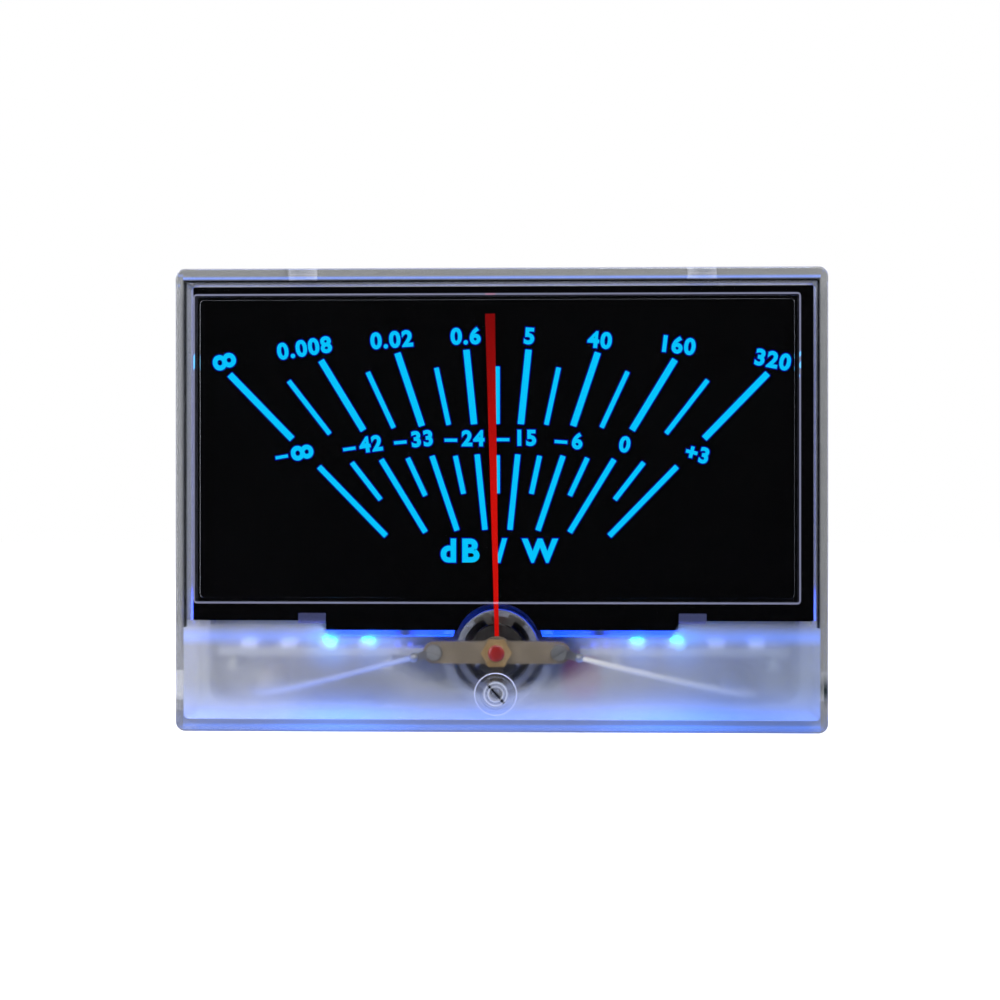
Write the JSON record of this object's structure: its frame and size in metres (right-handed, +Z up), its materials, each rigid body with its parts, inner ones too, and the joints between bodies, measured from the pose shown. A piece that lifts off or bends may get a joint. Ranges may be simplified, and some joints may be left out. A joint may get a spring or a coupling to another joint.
{
  "type": "analog level meter",
  "caption": "Wide backlit analog level meter: clear case, black dial with a red pointer, open moving-coil movement, zero adjuster, rear studs and lamp pins.",
  "frame": {"origin": "under the middle of the whole meter, on the plane that its bottom wall stands on", "axes": "+X to the right seen from the front, +Y back into the meter (the window faces -Y), +Z up"},
  "size_m": [0.134, 0.0376, 0.0954],
  "materials": {
    "cover_clear": "clear moulded polystyrene, polished",
    "housing_moulding": "milky white moulded plastic, fine matt",
    "dial_black": "black printed film, satin",
    "guide_acrylic": "clear acrylic, polished edges",
    "reflector_white": "white film",
    "clip_clear": "clear moulded plastic",
    "board_laminate": "white solder mask on glass laminate",
    "lamp_body": "white lamp body with a clear blue-lit face",
    "chip_black": "black glazed ceramic",
    "pin_tin": "tinned brass",
    "frame_casting": "die-cast, satin",
    "screw_steel": "turned and zinc plated",
    "bridge_casting": "die-cast bar, dull grey-tan",
    "tag_tin": "tinned brass sheet",
    "yoke_iron": "turned soft iron, blackened",
    "core_alnico": "ground magnet alloy",
    "holder_casting": "die-cast, bright",
    "barrel_brass": "turned brass",
    "seal_lacquer": "red sealing lacquer, glossy",
    "jewel_glass": "polished synthetic jewel",
    "nut_brass": "milled brass, dull",
    "lever_brass": "punched sheet, satin",
    "spring_bronze": "rolled bronze strip",
    "stud_nickel": "nickel-plated brass",
    "lead_sleeve": "white soft insulation",
    "adjuster_moulding": "translucent moulded plastic",
    "pointer_paint": "bright red paint on aluminium sheet",
    "hub_moulding": "black moulded plastic",
    "pivot_steel": "polished hardened steel",
    "former_foil": "thin bright sheet",
    "winding_copper": "fine enamelled copper wire",
    "weight_solder": "coiled solder wire"
  },
  "bodies": {
    "case": {"front_cover": "cover_clear", "rear_housing": "housing_moulding", "dial_plate": "dial_black", "light_guide": "guide_acrylic", "reflector_sheet": "reflector_white", "dial_clips": "clip_clear", "lamp_board_right": "board_laminate", "lamp_board_left": "board_laminate", "leds": "lamp_body", "resistors": "chip_black", "lamp_pins": "pin_tin", "movement_frame": "frame_casting", "movement_screws": "screw_steel", "front_bridge": "bridge_casting", "bridge_screws": "screw_steel", "movement_tags": "tag_tin", "yoke_ring": "yoke_iron", "core_magnet": "core_alnico", "core_holders": "holder_casting", "front_jewel_screw": "barrel_brass", "rear_jewel_screw": "barrel_brass", "lacquer_seal": "seal_lacquer", "bearing_jewels": "jewel_glass", "front_lock_nut": "nut_brass", "rear_lock_nut": "nut_brass", "rear_spring_anchor": "lever_brass", "pointer_stops": "screw_steel", "hairspring_front": "spring_bronze", "hairspring_rear": "spring_bronze", "terminal_studs": "stud_nickel", "terminal_tags": "tag_tin", "terminal_washers": "stud_nickel", "terminal_nuts": "stud_nickel", "lead_left": "lead_sleeve", "lead_right": "lead_sleeve"},
    "moving_coil": {"pointer": "pointer_paint", "pointer_hub": "hub_moulding", "rear_hub": "hub_moulding", "pivot_pins": "pivot_steel", "coil_former": "former_foil", "coil_winding": "winding_copper", "balance_cross": "lever_brass", "balance_weights": "weight_solder"},
    "adjuster": {"zero_adjuster": "adjuster_moulding"},
    "lever": {"zero_lever": "lever_brass"}
  },
  "joints": [
    {"name": "pointer_swing", "type": "hinge", "parent": "case", "child": "moving_coil", "pos_m": [-0.0009, 0, 0.016], "axis": [0, 1, 0], "range_deg": [-44.8, 47.2], "stiffness_Nm_per_rad": 0.00006, "springref_deg": -43, "deforming": ["hairspring_front", "hairspring_rear"]},
    {"name": "zero_adjuster_turn", "type": "hinge", "parent": "case", "child": "adjuster", "pos_m": [-0.0009, -0.0165, 0.0079], "axis": [0, 1, 0], "range_deg": [-40, 40]},
    {"name": "zero_lever_turn", "type": "hinge", "parent": "case", "child": "lever", "pos_m": [-0.0009, -0.0125, 0.016], "axis": [0, 1, 0], "range_deg": [-6, 6], "deforming": ["hairspring_front"]}
  ],
  "couplings": [
    {"joint": "zero_lever_turn", "follows": "zero_adjuster_turn", "ratio": -0.148}
  ]
}
